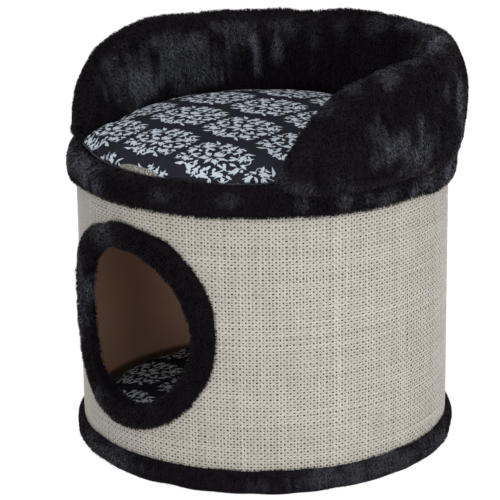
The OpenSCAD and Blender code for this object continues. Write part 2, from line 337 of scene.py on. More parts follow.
def group(name, vectors, floats, results):
    """A node group's tree, inputs and outputs. The names of its sockets come in one string for each kind."""
    tree = bpy.data.node_groups.new(name, "ShaderNodeTree")
    kinds = ("INPUT", "Vector", vectors), ("INPUT", "Float", floats), ("OUTPUT", "Float", results)
    for way, kind, labels in kinds:
        for label in labels.split():
            tree.interface.new_socket(name=label, in_out=way, socket_type="NodeSocket" + kind)
    return tree, tree.nodes.new("NodeGroupInput").outputs, tree.nodes.new("NodeGroupOutput").inputs


def use(made, **values):
    node = new_node(first_socket(values.values()), "Group")
    node.node_tree = made
    return fill_in(node, **values)


# Cloth weave: the height and tone of a plain weave seen from above
def weave_group():
    tree, given, made = group("plain weave", "Where", "Pitch", "Height Tone")
    x, y, _ = split(given["Where"])
    threads = [times(calc("DIVIDE", v, given["Pitch"]), math.pi) for v in (x, y)]
    crossing = times(*(calc("SINE", v) for v in threads))
    feed(made["Height"], calc("ABSOLUTE", crossing))
    feed(made["Tone"], calc("MULTIPLY_ADD", crossing, 0.5, 0.5))
    return tree


plain_weave = weave_group()


# Plush: short black pile whose nap is painted lighter where it is brushed, as painted sheen where it would
# catch the light
def plush_finish():
    material, shader, where = finish_of(
        "plush", Roughness=0.8, Specular_IOR_Level=0.1,
        Sheen_Weight=0.05, Sheen_Roughness=0.35, Sheen_Tint=(0.8, 0.66, 0.82, 1))
    fleck = noise(where, 900.0, 2.0)
    tuft = noise(where, 170.0, 3.0)
    nap_and_sheen = times(read(shader, "nap_and_sheen"), calc("MULTIPLY_ADD", fleck, 0.6, 0.7))
    nap_and_sheen = times(nap_and_sheen, between(tuft, 0.25, 0.75, 0.85, 1.15))
    # The brushed colour is a painted sheen, a bluish grey where light would catch the black pile.
    black, brushed_sheen = (0.0026, 0.0004, 0.0022, 1), (0.165, 0.178, 0.215, 1)
    paint(shader, mixed(calc("MINIMUM", nap_and_sheen, 1.0), black, brushed_sheen))
    bump(shader, fleck, 0.3, 0.0006)
    return material


plush = plush_finish()

# Brushed places of the plush with painted sheen, by angle, radius and height in millimetres, reach round and
# up, and lightness
BRUSHED_SHEEN = (
    # inside of the backrest
    (-80, 161, 352, 44, 36, 0.5), (-106, 161, 358, 50, 34, 0.55), (-83, 160, 343, 28, 22, 1.2),
    (-66, 164, 366, 18, 28, 0.4), (-98, 163, 380, 56, 13, 0.3), (-112, 160, 338, 30, 12, 0.25),
    (-126, 163, 386, 22, 20, 0.45), (-132, 160, 358, 6, 26, 0.85), (-140, 161, 366, 7, 18, 0.75),
    (-143, 163, 391, 16, 12, 0.55), (-154, 161, 372, 5, 26, 0.2), (-165, 164, 392, 10, 14, 0.3),
    # its crest
    (180, 168, 402, 16, 11, 0.4), (162, 178, 408, 28, 13, 0.5), (149, 181, 408, 24, 13, 0.55),
    (132, 174, 406, 34, 19, 1.3), (141, 184, 407, 18, 14, 0.5), (115, 178, 411, 18, 9, 0.7),
    (101, 179, 412, 18, 8, 0.55), (87, 179, 409, 18, 7, 0.5), (75, 178, 399, 16, 8, 0.45),
    (64, 178, 381, 14, 9, 0.4),
    # outside of its right arm
    (85, 192, 403, 13, 9, 0.4), (108, 205, 380, 7, 11, 0.42), (94, 206, 356, 7, 14, 0.5),
    (78, 203, 360, 10, 18, 0.35), (83, 203, 339, 26, 17, 0.72), (96, 202, 334, 22, 18, 0.6),
    (90, 199, 321, 26, 10, 0.45), (118, 207, 374, 13, 22, 0.6), (118, 207, 350, 15, 26, 0.75),
    (120, 202, 325, 16, 18, 1.0),
    # rim on the right
    (116, 197, 306, 18, 14, 0.8), (115, 198, 291, 26, 15, 1.3), (99, 198, 292, 26, 13, 0.6),
    (84, 198, 291, 16, 10, 0.4), (127, 198, 292, 20, 15, 1.3),
    # tip of the right arm, and inside on the right
    (52, 186, 322, 12, 12, 0.45), (58, 194, 312, 16, 7, 0.35), (68, 195, 313, 18, 7, 0.35),
    (147, 164, 391, 20, 9, 0.6),
    # front of the rim
    (69, 198, 294, 8, 10, 0.46), (76, 198, 294, 7, 8, 0.52), (94, 198, 290, 7, 10, 0.46),
    (57, 198, 295, 9, 9, 0.34), (-21, 195, 305, 38, 18, 1.35), (-45, 197, 296, 38, 15, 1.35),
    (-9, 198, 293, 11, 10, 0.9), (16, 198, 299, 12, 8, 0.24), (37, 198, 299, 16, 8, 0.25),
    # door ring
    (-9, 198, 246, 30, 17, 0.58), (-25, 193, 180, 9, 55, 0.62), (-27, 194, 120, 8, 30, 0.56),
    (-12, 199, 67, 18, 13, 0.45),
    # foot strip
    (80, 196, 12, 110, 16, 0.52), (112, 196, 10, 30, 14, 0.4), (-10, 196, 10, 60, 15, 0.5),
    # the whole back
    (205, 205, 350, 60, 25, 0.3), (232, 206, 365, 30, 14, 0.34), (170, 207, 335, 34, 16, 0.4),
    (190, 198, 292, 40, 10, 0.34), (260, 205, 345, 30, 22, 0.34), (190, 196, 12, 80, 12, 0.28),
    (286, 196, 12, 60, 12, 0.25))
BRUSHED_SHEEN_DEEP = 14


def nap_and_sheen_at(points):
    """How light the nap is painted at points, from 0 to 1, with painted sheen at the brushed places."""
    drift = waves(points, 0.085, 3) + 0.55 * waves(points, 0.032, 4)
    light = 0.014 + 0.028 * np.clip(drift, 0, 1.6)
    r, angle = radius_of(points), angle_of(points)
    ragged = 0.17 * waves(points * [1, 1, 0.16], 0.006, 5) + 0.14 * waves(points, 0.03, 6)
    for at, radius, height, wide, tall, strength in BRUSHED_SHEEN:
        round_gap = np.radians(turn_gap(angle, at)) * radius / wide
        up_gap = (points[:, 2] * 1e3 - height) / tall
        deep_gap = (r * 1e3 - radius) / BRUSHED_SHEEN_DEEP
        gap = np.sqrt(round_gap ** 2 + up_gap ** 2 + deep_gap ** 2)
        light += 0.75 * strength * (1 - ease(gap + ragged, 0.3, 1.25))
    streak = 1 + 0.24 * waves(points * [1, 1, 0.14], 0.0045, 7)
    return np.clip(light * streak, 0.006, 1)


def mesh_of(name, points, corners):
    """A mesh of triangles."""
    mesh = bpy.data.meshes.new(name)
    mesh.vertices.add(len(points))
    mesh.vertices.foreach_set("co", np.asarray(points, np.float32).ravel())
    mesh.loops.add(corners.size)
    mesh.loops.foreach_set("vertex_index", corners.ravel().astype(np.int32))
    mesh.polygons.add(len(corners))
    mesh.polygons.foreach_set("loop_start", np.arange(len(corners), dtype=np.int32) * 3)
    mesh.update(calc_edges=True)
    return mesh


def scatter(mesh, per_cm2, rng):
    """Random places all over a mesh, with the normal at each."""
    mesh.calc_loop_triangles()
    corners = np.zeros(len(mesh.loop_triangles) * 3, np.int32)
    mesh.loop_triangles.foreach_get("vertices", corners)
    corners = corners.reshape(-1, 3)
    co, no = points_of(mesh), points_of(mesh, "normal")
    a, b, c = (co[corners[:, i]] for i in range(3))
    area = np.linalg.norm(np.cross(b - a, c - a), axis=1) / 2
    count = int(area.sum() * 1e4 * per_cm2)
    face = np.searchsorted(np.cumsum(area), rng.random(count) * area.sum()).clip(0, len(area) - 1)
    u, v = rng.random(count), rng.random(count)
    fold = u + v > 1
    u[fold], v[fold] = 1 - u[fold], 1 - v[fold]
    share = np.stack([1 - u - v, u, v], 1)[:, :, None]
    return (co[corners[face]] * share).sum(1), unit((no[corners[face]] * share).sum(1))


# A strand has two points at its root, two at its middle and one at its tip
STRAND_FACES = np.array([[0, 1, 3], [0, 3, 2], [2, 3, 4]])
# Along each strand the nap is painted darker at the root and lighter at the tip: painted shade down in the
# pile, painted sheen on the tips.
STRAND_SHADE_AND_SHEEN = [0.4, 0.4, 0.95, 0.95, 1.2]
STRAND_CELL = np.array([(0.15, 0.1), (0.85, 0.1), (0.2, 0.55), (0.8, 0.55), (0.5, 0.92)])
STRAND_W = (0.00038, 0.0006)
STRAND_ROOT = 0.0004


def pile(name, skin, per_cm2, length, lean, seed, keep, lowest=-1.0):
    """Tapered strands that stand on a skin, where keep says so, and lean as the pile is brushed."""
    rng = np.random.default_rng(seed)
    root, out = scatter(skin.data, per_cm2, rng)
    kept = keep(root, out)
    root, out = root[kept], out[kept]
    count = len(root)
    comb = lean(root) + 0.1 * np.stack([waves(root, 0.02, seed + k) for k in (11, 12, 13)], 1)
    comb += rng.normal(scale=0.07, size=(count, 3))
    comb -= out * (comb * out).sum(1)[:, None]
    first = unit(0.85 * out + 0.95 * comb)
    second = unit(0.32 * out + 1.3 * comb)
    long = length * (1 + 0.12 * waves(root, 0.009, seed + 21)) * rng.uniform(0.75, 1.12, count)
    wide = rng.uniform(*STRAND_W, count)
    side = unit(np.cross(first, rng.normal(size=(count, 3)))) * wide[:, None]
    base = root - out * STRAND_ROOT
    middle = base + first * (0.55 * long)[:, None]
    tip = middle + second * (0.45 * long)[:, None]
    points = np.stack([base - side / 2, base + side / 2, middle - side * 0.4, middle + side * 0.4, tip], 1)
    points[:, :, 2] = np.maximum(points[:, :, 2], lowest)
    each = len(STRAND_CELL)
    corners = np.arange(count)[:, None, None] * each + STRAND_FACES
    strands = mesh_of(name, points.reshape(-1, 3), corners.reshape(-1, 3))
    attribute(strands, "nap_and_sheen", (nap_and_sheen_at(root)[:, None] * STRAND_SHADE_AND_SHEEN).ravel())
    cells = math.ceil(count ** 0.5)
    cell = np.stack([np.arange(count) % cells, np.arange(count) // cells], 1)[:, None, :]
    uv = (cell + STRAND_CELL[STRAND_FACES.ravel()]) / cells
    strands.uv_layers.new(name="OFBake").data.foreach_set("uv", uv.astype(np.float32).ravel())
    strands.normals_split_custom_set_from_vertices(
        unit(np.repeat(out, each, 0) + 0.35 * np.repeat(second, each, 0)).astype(np.float32))
    return dress(add_object(name, strands), plush, "condo", "plush")


def lumps(obj, size, height, seed):
    """Soft unevenness of a padded skin, along its own normals."""
    co, no = points_of(obj.data), points_of(obj.data, "normal")
    move_points(obj.data, co + no * (height * waves(co, size, seed))[:, None])


def dress_plush(obj, *stands_for):
    # The skin takes only a third of the painted nap and sheen, so it shows darker: painted shade under the
    # strands.
    attribute(obj.data, "nap_and_sheen", 0.35 * nap_and_sheen_at(points_of(obj.data)))
    dress(obj, plush, "condo", "plush", *stands_for)


# The strip round the foot
def foot_section():
    inside = DRUM_R + GLUE
    turn = np.radians(np.linspace(-90, 90, 25))
    fullness = np.where(turn < 0, 0.3, 0.6)
    proud = (FOOT_PROUD - FOOT_PILE_ROOM) * np.cos(turn).clip(0) ** fullness
    swell = np.stack([inside + proud, FOOT_H / 2 * (1 + np.sin(turn))], 1)
    under = [(inside, UNDERLAY_T), (FOOT_FOLD_R, UNDERLAY_T), (FOOT_FOLD_R, 0)]
    return np.concatenate([swell, under])


def outside_foot(root, out):
    return (radius_of(root) > BARE_R) & (root[:, 2] > FOOT_BARE)


def down(points):
    return np.tile([0.0, 0.0, -0.75], (len(points), 1))


foot_strip = turned("foot_strip", foot_section(), 220)
lumps(foot_strip, 0.05, 0.0005, 31)
co = points_of(foot_strip.data)
pressed = 0.04 + 0.04 * hump(angle_of(co) + 10, 35)
co[:, 2] *= 1 - pressed * ease(co[:, 2], 0.0, FOOT_H)
co[:, 2] = co[:, 2].clip(0)
move_points(foot_strip.data, co)
dress_plush(foot_strip, "base_trim")
pile("foot_strip_pile", foot_strip, 110, 0.0028, down, 101, outside_foot, 0.0)

# The ring round the doorway, a circle bent round the drum, wider or narrower at some turns
DOOR_WAVES = ((46, 0.0056), (108, -0.003), (-46, -0.0018))


def door_section(room):
    inner, outer = DOOR_R - DOOR_LIP + room * 0.4, DOOR_R + DOOR_RING_W - room
    turn = np.radians(np.linspace(180, 0, 19))
    front = np.stack([
        (inner + outer) / 2 + (outer - inner) / 2 * np.cos(turn),
        GLUE + (DOOR_PROUD - room) * np.sin(turn).clip(0) ** 0.8], 1)
    turn = np.radians(np.linspace(0, 180, 13))
    behind = np.stack([
        (inner + DOOR_R + DOOR_BACK_W) / 2 + (DOOR_R + DOOR_BACK_W - inner) / 2 * np.cos(turn),
        DOOR_BACK - DOOR_BACK_T * np.sin(turn).clip(0) ** 0.8], 1)
    return np.concatenate([front, [(DOOR_R - GLUE, GLUE), (DOOR_R - GLUE, DOOR_BACK)], behind])


def door_rings(section, steps):
    """The ring's section all the way round, fuller at its upper right and flatter at its left."""
    t = np.radians(np.linspace(0, 360, steps, endpoint=False))[:, None]
    turn = np.degrees(t)
    reach, proud = section[None, :, 0], section[None, :, 1]
    outward = sum(high * hump(turn_gap(turn, at), 28) for at, high in DOOR_WAVES)
    inward = 0.002 * hump(turn_gap(turn, -90), 40)
    outer_share = ease(reach, DOOR_R, DOOR_R + DOOR_RING_W)
    inner_share = ease(reach, DOOR_R, DOOR_R - DOOR_LIP)
    reach = reach + outward * outer_share + inward * inner_share
    proud = np.where(proud > 0, proud * (1 - 0.36 * (-np.cos(t)).clip(0)), proud)
    return polar(DRUM_R + proud, np.degrees(reach * np.cos(t) / DRUM_R), DOOR_Z + reach * np.sin(t))


def outside_door(root, out):
    reach = np.hypot(np.radians(angle_of(root)) * DRUM_R, root[:, 2] - DOOR_Z)
    return (radius_of(root) > DRUM_R + 0.0005) | (reach < DOOR_R - DOOR_LIP + 0.004)


def round_door(points):
    """The pile of the ring leans outward from the doorway, and down."""
    away = np.stack([points[:, 0], np.zeros(len(points)), points[:, 2] - DOOR_Z], 1)
    return unit(away) * 0.1 + [0, 0, -0.3]


door_ring = lofted("door_ring", door_rings(door_section(PILE_ROOM), 150), True)
lumps(door_ring, 0.045, 0.0007, 32)
dress_plush(door_ring, "door_trim")
pile("door_ring_pile", door_ring, 105, 0.0038, round_door, 102, outside_door)


# The padded rim
def rim_section(room):
    foot, low, outer = DRUM_R + GLUE, RIM_LOW + room, RIM_R - room
    top, inner = RIM_TOP - room, RIM_IN + room * 0.3
    turn = np.radians(np.linspace(0, 90, 13))
    lower = np.stack([
        foot + (outer - foot) * np.sin(turn) ** 0.8, RIM_WAIST + (low - RIM_WAIST) * np.cos(turn)], 1)
    upper = np.stack([
        RIM_CREST + (outer - RIM_CREST) * np.cos(turn), RIM_WAIST + (top - RIM_WAIST) * np.sin(turn)], 1)
    t = np.linspace(1, 0, 13)
    inside = np.stack([
        inner + (RIM_CREST - inner) * t, DECK_TOP + (top - DECK_TOP) * np.sin(np.pi / 2 * t)], 1)
    return np.concatenate([lower, upper[1:], inside[1:], [(inner, DRUM_H), (foot, DRUM_H)]])


def rim_hang(angle):
    """How far the rim's lower edge hangs at an angle from the doorway."""
    return 0.0065 * hump(angle - 138, 26) + 0.006 * hump(angle + 46, 20)


def rim_dip(angle):
    """How far the cushion presses the rim's crest down at an angle from the doorway."""
    return 0.0055 * hump(angle + 30, 34) + 0.002 * hump(angle - 30, 26)


def outside_rim(root, out):
    r, angle, z = radius_of(root), angle_of(root), root[:, 2]
    under_back = (np.abs(angle) > ARM_FROM + 3) & (z > DECK_TOP + 0.0005) & (r < RIM_R - 0.004)
    on_top = (z > PILE_LOW_IN - rim_dip(angle)) & (r > RIM_IN + 0.003)
    return ((r > BARE_R) | on_top) & ~under_back


def over_rim(points):
    return unit(points * [1, 1, 0]) * 0.45 + [0, 0, -0.6]


rim = turned("rim_pad", rim_section(PILE_ROOM), 240)
co = points_of(rim.data)
outer = radius_of(co) > RIM_CREST
co[:, 2] -= rim_hang(angle_of(co)) * outer * (1 - ease(co[:, 2], RIM_LOW, RIM_WAIST + 0.004))
low = np.where(outer, RIM_WAIST, DECK_TOP)
co[:, 2] -= rim_dip(angle_of(co)) * np.clip((co[:, 2] - low) / (RIM_TOP - low), 0, 1)
move_points(rim.data, co)
lumps(rim, 0.06, 0.0007, 33)
dress_plush(rim, "rim_band", "rim_foam")
pile("rim_pile", rim, 100, 0.004, over_rim, 103, outside_rim)

# The backrest, whose crest rises and falls a little by angle, reach and height
CREST_WAVES = (
    (90, 24, 0.004), (138, 30, 0.0022), (182, 20, 0.0034), (230, 30, -0.0045), (268, 22, 0.0028))
FRINGE_R, FRINGE_TOP = 0.186, RIM_TOP + 0.003


def nest_wall(past, left):
    """Radius of the backrest's inner foot past an arm's tip. The left arm thickens more slowly."""
    thickens = np.where(left, 10, 6)
    return RIM_IN + ARM_TIP_INSET + (NEST_R - RIM_IN - ARM_TIP_INSET) * (1 - np.exp(-past / thickens))


def back_floor(r, dip):
    """Height of the backrest's underside at a radius, on a rim whose crest is pressed down by dip."""
    arch = np.sqrt(np.clip(1 - ((r - RIM_CREST) / (RIM_R - RIM_CREST)) ** 2, 0, 1))
    slope = np.sin(np.pi / 2 * np.clip((r - RIM_IN) / (RIM_CREST - RIM_IN), 0, 1))
    low = np.where(r < RIM_CREST, DECK_TOP, RIM_WAIST)
    level = low + (RIM_TOP - low) * np.where(r < RIM_CREST, slope, arch)
    return level - dip * (level - low) / (RIM_TOP - low) + BACK_GAP


def back_rings(room, around, walls):
    """Rings of the backrest from arm to arm, each over its inner wall, crest, outer wall and foot."""
    t = np.linspace(0, 1, around)
    u = 1 - np.abs(2 * t - 1)
    past = ARM_SPAN * u * (0.7 + 0.3 * u)
    angle = np.where(t < 0.5, ARM_FROM + past, 360 - ARM_FROM - past)
    right = angle < 180
    growth = 1 - np.exp(-past / np.where(right, 13.2, 15.8))
    crest = RIM_TOP + ARM_TIP_H + (BACK_H - ARM_TIP_H) * growth
    crest -= 0.003 * ease(past, 62, 118)
    for at, wide, high in CREST_WAVES:
        crest += high * hump(angle - at, wide)
    dip = rim_dip(turn_gap(angle, 0))
    crest -= dip * np.exp(-past / 10)
    inner = nest_wall(past, ~right) + room
    outer = BACK_FOOT_R + 0.0056 * (1 - np.exp(-past / 4)) - room * 0.5
    crest_r = inner + (outer - inner) * (0.68 - 0.18 * hump(angle - 90, 40))
    b = np.radians(90 * np.linspace(0, 1, walls) ** 1.4)[None, :]
    up, flat = np.sin(b) ** 0.52, np.cos(b).clip(0) ** 0.52
    opening = (1 - np.exp(-past / np.where(right, 16, 9)))[:, None]
    swell = BACK_SWELL * opening * np.sin(np.pi * up).clip(0) ** 0.4 * (1.1 - 0.35 * up)
    top = (crest - room)[:, None]
    inner_r = crest_r[:, None] + (inner - crest_r)[:, None] * flat
    outer_r = crest_r[:, None] + (outer - crest_r)[:, None] * flat + swell
    feet = back_floor(inner, dip)[:, None], back_floor(outer, dip)[:, None] + ARM_LIP
    inner_z, outer_z = (foot + (top - foot) * up for foot in feet)
    floor_r = outer[:, None] + (inner - outer)[:, None] * np.linspace(0, 1, 12)[None, 1:-1]
    r = np.concatenate([inner_r, outer_r[:, -2::-1], floor_r], 1)
    z = np.concatenate([inner_z, outer_z[:, -2::-1], back_floor(floor_r, dip[:, None])], 1)

    def tip(end, nose):
        spot = polar((inner[end] + outer[end]) / 2, angle[end] + nose, ARM_TIP_Z)
        return np.tile(spot, (1, r.shape[1], 1))

    return np.concatenate([tip(0, -ARM_NOSE), polar(r, angle[:, None], z), tip(-1, ARM_NOSE)])


def back_lean(points):
    swirl = np.stack([waves(points, 0.06, k) for k in (41, 42, 43)], 1)
    return 0.22 * swirl + [0, 0, -0.7]


def part_of_back(low, high):
    def keep(root, out):
        angle = angle_of(root) % 360
        lowest = np.where(radius_of(root) > RIM_R - 0.003, PILE_LOW_OUT, PILE_LOW_IN)
        return (root[:, 2] > lowest) & (out[:, 2] > -0.97) & (angle >= low) & (angle < high)
    return keep


def low_edge(root, out):
    return part_of_back(0, 360)(root, out) & (radius_of(root) > FRINGE_R) & (root[:, 2] < FRINGE_TOP)


backrest = lofted("backrest_pad", back_rings(PILE_ROOM, 180, 16), False)
lumps(backrest, 0.075, 0.0011, 34)
lumps(backrest, 0.03, 0.0003, 35)
dress_plush(backrest, "backrest_cover", "backrest_foam")
back_parts = ("right", 0, 115), ("back_right", 115, 180), ("back_left", 180, 245), ("left", 245, 360)
for label, low, high in back_parts:
    pile("backrest_pile_" + label, backrest, 95, 0.0038, back_lean, 104 + low, part_of_back(low, high))
pile("backrest_fringe", backrest, 70, 0.0062, back_lean, 106, low_edge)

# Sisal: warps and wefts laid over and under each other on a dark backing, which is painted shade seen
# through the holes of the weave
WARPS, WEFTS = 362, 92
SISAL_LOW, SISAL_HIGH = 0.018, 0.286
WEFT_PITCH = (SISAL_HIGH - SISAL_LOW) / WEFTS
YARN_DEEP, BACKING_DEEP, BACKING_T = 0.0009, 0.00175, 0.0002
YARN_LIFT, YARN_ARCH, YARN_UNEVEN = 0.00042, 0.00046, 0.00012
SISAL_DOOR_R = DOOR_R + 0.006
LIGHT_WARPS = 24, 68


def sisal_finish():
    material, shader, where = finish_of(
        "sisal", Roughness=0.85, Specular_IOR_Level=0.2, Sheen_Weight=0.35, Sheen_Roughness=0.5)
    strand = noise(where, 1500.0, 2.0)
    patch = noise(where, 26.0, 3.0)
    colour = mixed(read(shader, "tone"), (0.31, 0.275, 0.22, 1), (0.545, 0.525, 0.48, 1))
    colour = mixed(times(strand, 0.3), colour, (0.365, 0.33, 0.27, 1))
    colour = mixed(between(patch, 0.45, 0.75, 0.0, 0.25), colour, (0.51, 0.47, 0.435, 1))
    paint(shader, colour)
    bump(shader, strand, 0.35, 0.0003)
    return material


def shaded_backing_finish():
    material, shader, where = finish_of("sisal shade backing", Roughness=0.9, Specular_IOR_Level=0.2)
    grain = noise(where, 320.0, 4.0)
    # The backing's dark brown is a painted shade for the holes between the yarns, with a grain in it.
    paint(shader, mixed(grain, (0.035, 0.029, 0.023, 1), (0.1, 0.085, 0.068, 1)))
    return material


sisal, sisal_shade_backing = sisal_finish(), shaded_backing_finish()


def in_doorway(p):
    reach = math.hypot(math.atan2(p.x, -p.y) * DRUM_R, p.z - DOOR_Z)
    return p.y < 0 and reach < SISAL_DOOR_R


def yarns(name, warp, half):
    """Half of the warps or wefts, as arched ribbons, three points across, that pass over and under."""
    count, crossings = (WARPS // 2, WEFTS) if warp else (WEFTS, WARPS // 2)
    bm, column, row = grid(count * 3 - 1, crossings * 2)
    yarn, rib, beat = column // 3, column % 3 - 1, row
    rng = np.random.default_rng(201 if warp else 202)
    first = half * (WARPS // 2)
    first_yarn, first_crossing = (first, 0) if warp else (0, first)
    parity = (yarn + first_yarn + (not warp)) % 2
    over = np.cos(np.pi * (np.floor((beat - 1) / 2 + first_crossing) + parity)) * (beat % 2 == 1)
    pull = np.cos(np.pi * (beat // 2 + first_crossing + yarn + first_yarn)) * (beat % 2 == 0)
    slub = np.array(rng.normal(1, 0.05, count))[yarn]
    jitter = np.array(rng.normal(0, 0.03, count))[yarn]
    along = np.stack([yarn * 7.3, beat * 0.21 + first * 0.37, np.full(len(yarn), 5.0)], 1)
    slub = slub + 0.08 * waves(along, 9, 203 + warp)
    drift = 0.06 * waves(along, 14, 206 + warp)
    fill = (0.62 if warp else 0.66) * slub
    lay = yarn + 0.5 + jitter + drift + 0.085 * pull + rib * fill / 2
    if warp:
        angle = -180 + 360 * (lay + first) / WARPS
        z = SISAL_LOW + beat / 2 * WEFT_PITCH
    else:
        angle = -180 + 360 * (first + beat / 2) / WARPS
        z = SISAL_LOW + lay * WEFT_PITCH
    lift = YARN_LIFT * over - YARN_ARCH * np.abs(rib) + YARN_UNEVEN * waves(along, 5, 209)
    place(bm, polar(DRUM_R - YARN_DEEP + lift, angle, z))
    tone = np.array(rng.normal(0.64, 0.09, count))[yarn]
    # Each yarn is painted darker towards its edges, a painted shade where it dips between its neighbours.
    tone = tone + 0.1 * waves(along, 6, 211 + warp) - 0.10 * np.abs(rib)
    if warp:
        for light in LIGHT_WARPS:
            tone += 0.3 * hump(angle - light, 1.2)
    layer = bm.verts.layers.float.new("tone")
    for v, t in zip(bm.verts, np.clip(tone, 0.1, 1)):
        v[layer] = t
    bm.verts.index_update()
    gaps = [f for f in bm.faces if sum(column[v.index] % 3 for v in f.verts) == 4]
    hidden = [f for f in bm.faces if in_doorway(f.calc_center_median())]
    bmesh.ops.delete(bm, geom=list({*gaps, *hidden}), context="FACES")
    bmesh.ops.recalc_face_normals(bm, faces=bm.faces)
    inward = [f for f in bm.faces if f.normal.dot(f.calc_center_median() * Vector((1, 1, 0))) < 0]
    bmesh.ops.reverse_faces(bm, faces=inward)
    return dress(piece(name, bm), sisal, "condo", "sisal")


for half, label in enumerate(("left", "right")):
    yarns("sisal_warps_" + label, True, half)
    yarns("sisal_wefts_" + label, False, half)

around, rows = 240, 80
bm, column, row = grid(around, rows)
level = UNDERLAY_T + (DRUM_H - UNDERLAY_T) * row / rows
place(bm, polar(DRUM_R - BACKING_DEEP, -180 + 360 / around * column, level))
close_up(bm)
hidden = [f for f in bm.faces if in_doorway(f.calc_center_median())]
bmesh.ops.delete(bm, geom=hidden, context="FACES")
backing = piece("sisal_shade_backing", bm)
thicken(backing, BACKING_T, 0)
dress(backing, sisal_shade_backing, "condo", "sisal", "woven_cover")

# Damask: a bouquet of leaves in a wreath of notched sprigs on thin stems, mirrored, in half-drop repeat
MOTIF_W, MOTIF_H = 0.077, 0.0752
DRAWN_W, DRAWN_H = 0.0805, 0.0825
MOTIF_AT = (0.0355, -0.0555)
INK_SOFT, INK_FULL = -0.0002, 0.0003

# Leaves in millimetres: start ring and angle, turn from straight out, length, half width, bend, notches
LEAVES = (
    (1, 90, 0, 17, 2.6, 0, 0.15), (3, 60, 6, 15, 2.5, 0.2, 0.15), (4, 30, -8, 15, 2.5, -0.25, 0.15),
    (3, 2, 8, 16, 2.4, 0.2, 0.15), (4, -26, -8, 15, 2.5, -0.25, 0.15), (3, -56, 8, 15, 2.5, 0.2, 0.15),
    (1, -90, 0, 17, 2.6, 0, 0.15), (16, 76, 14, 11, 2.9, 0.4, 0.2), (16, 48, -18, 11, 2.9, -0.4, 0.2),
    (16, 21, 18, 11, 2.9, 0.4, 0.2), (16, -6, -18, 11, 2.9, -0.4, 0.2), (16, -33, 18, 11, 2.9, 0.4, 0.2),
    (16, -60, -16, 11, 2.9, -0.4, 0.2), (21, 62, 4, 7, 2.1, 0.2, 0.1), (21, 35, -4, 7, 2.1, -0.2, 0.1),
    (20, 8, 0, 9, 2.2, 0.2, 0.1), (21, -19, 4, 7, 2.1, 0.2, 0.1), (21, -46, -4, 7, 2.1, -0.2, 0.1),
    (20, -75, 0, 8, 2.1, 0, 0.1), (25, -82, 46, 17, 4.2, 0.45, 0.26), (26, -52, 52, 15, 4.2, 0.4, 0.26),
    (26, -14, 50, 16, 4.2, 0.4, 0.26), (26, 25, 50, 16, 4.2, 0.4, 0.26), (26, 61, 40, 15, 3.8, 0.4, 0.26),
    (27, -66, -30, 13, 3, -0.5, 0.16), (28, -28, -40, 13, 3, -0.5, 0.16),
    (28, 10, -40, 13, 3, -0.5, 0.16), (28, 47, -40, 14, 3, -0.5, 0.16), (27, 78, -30, 13, 2.9, 0.4, 0.16),
    (32, -56, 0, 12, 2.5, 0.3, 0.1), (31, -22, 0, 9, 2.5, 0.3, 0.1), (31, 17, 4, 9, 2.5, -0.3, 0.1),
    (31, 53, 4, 14, 2.5, -0.3, 0.1), (33, 34, 0, 11, 2.3, 0.25, 0.12), (33, -34, 0, 11, 2.3, -0.25, 0.12),
    (22, -90, 0, 18, 4.8, 0, 0.34), (19, 90, 0, 21, 4.4, 0, 0.3), (36, -38, 62, 6, 1.9, 0.5, 0.1),
    (36, 1, 62, 6, 1.9, 0.5, 0.1), (36, 38, 62, 6, 1.9, 0.5, 0.1), (34, -74, -64, 7, 2.1, -0.5, 0.1),
    (36, 66, 64, 6, 2, 0.5, 0.1), (30, -44, -70, 6, 1.8, -0.4, 0.1), (30, -6, -70, 6, 1.8, -0.4, 0.1),
    (30, 32, -70, 6, 1.8, -0.4, 0.1))
# Stems in millimetres: middle, radius, the angles they run between, half width
STEMS = (
    (12, -12, 10.5, -70, 60, 0.5), (10, 13, 11, -30, 95, 0.5), (19, -2, 8.5, 95, 250, 0.45),
    (6, -27, 7, -60, 110, 0.45), (7, 27, 6.5, -120, 40, 0.45), (28, -18, 7, -100, 60, 0.45),
    (28, 17, 7, -60, 100, 0.45))


def leaf_group():
    tree, given, made = group("damask leaf", "Where Stem", "Turn Long Wide Bend Notch", "Mask")
    spun = new_node(given["Where"], "VectorRotate")
    spun.rotation_type = "Z_AXIS"
    back = times(given["Turn"], -1.0)
    spot = fill_in(spun, Vector=given["Where"], Center=given["Stem"], Angle=back)[0]
    x, y, _ = split(calc("SUBTRACT", spot, given["Stem"], kind="VectorMath"))
    share = between(calc("DIVIDE", x, given["Long"]), 0.0, 1.0)
    most = times(given["Bend"], given["Long"])
    spine = times(times(share, share), most)
    across = calc("ABSOLUTE", minus(y, spine))
    belly = calc("SINE", times(calc("POWER", share, 0.75), math.pi))
    slant = times(across, 1100.0)
    saw = calc("SINE", minus(times(x, 1500.0), slant))
    saw = calc("ADD", times(minus(saw, 1.0), given["Notch"]), 1.0)
    half_wide = times(times(belly, saw), given["Wide"])
    blade = between(minus(half_wide, across), INK_SOFT, INK_FULL)
    feed(made["Mask"], times(blade, between(belly, 0.02, 0.1)))
    return tree


def stem_group():
    tree, given, made = group("damask stem", "Where Middle", "Size Turn Half Thick", "Mask")
    x, y, _ = split(calc("SUBTRACT", given["Where"], given["Middle"], kind="VectorMath"))
    reach = calc("SQRT", calc("ADD", times(x, x), times(y, y)))
    swing = minus(calc("ARCTAN2", y, x), given["Turn"])
    swing = calc("ABSOLUTE", calc("WRAP", swing, math.pi, -math.pi))
    share = minus(1.0, calc("DIVIDE", swing, given["Half"]))
    half_wide = times(calc("MULTIPLY_ADD", share, 0.8, 0.5), given["Thick"])
    off_line = calc("ABSOLUTE", minus(reach, given["Size"]))
    stroke = between(minus(half_wide, off_line), INK_SOFT, INK_FULL)
    feed(made["Mask"], times(stroke, between(share, 0.0, 0.06)))
    return tree


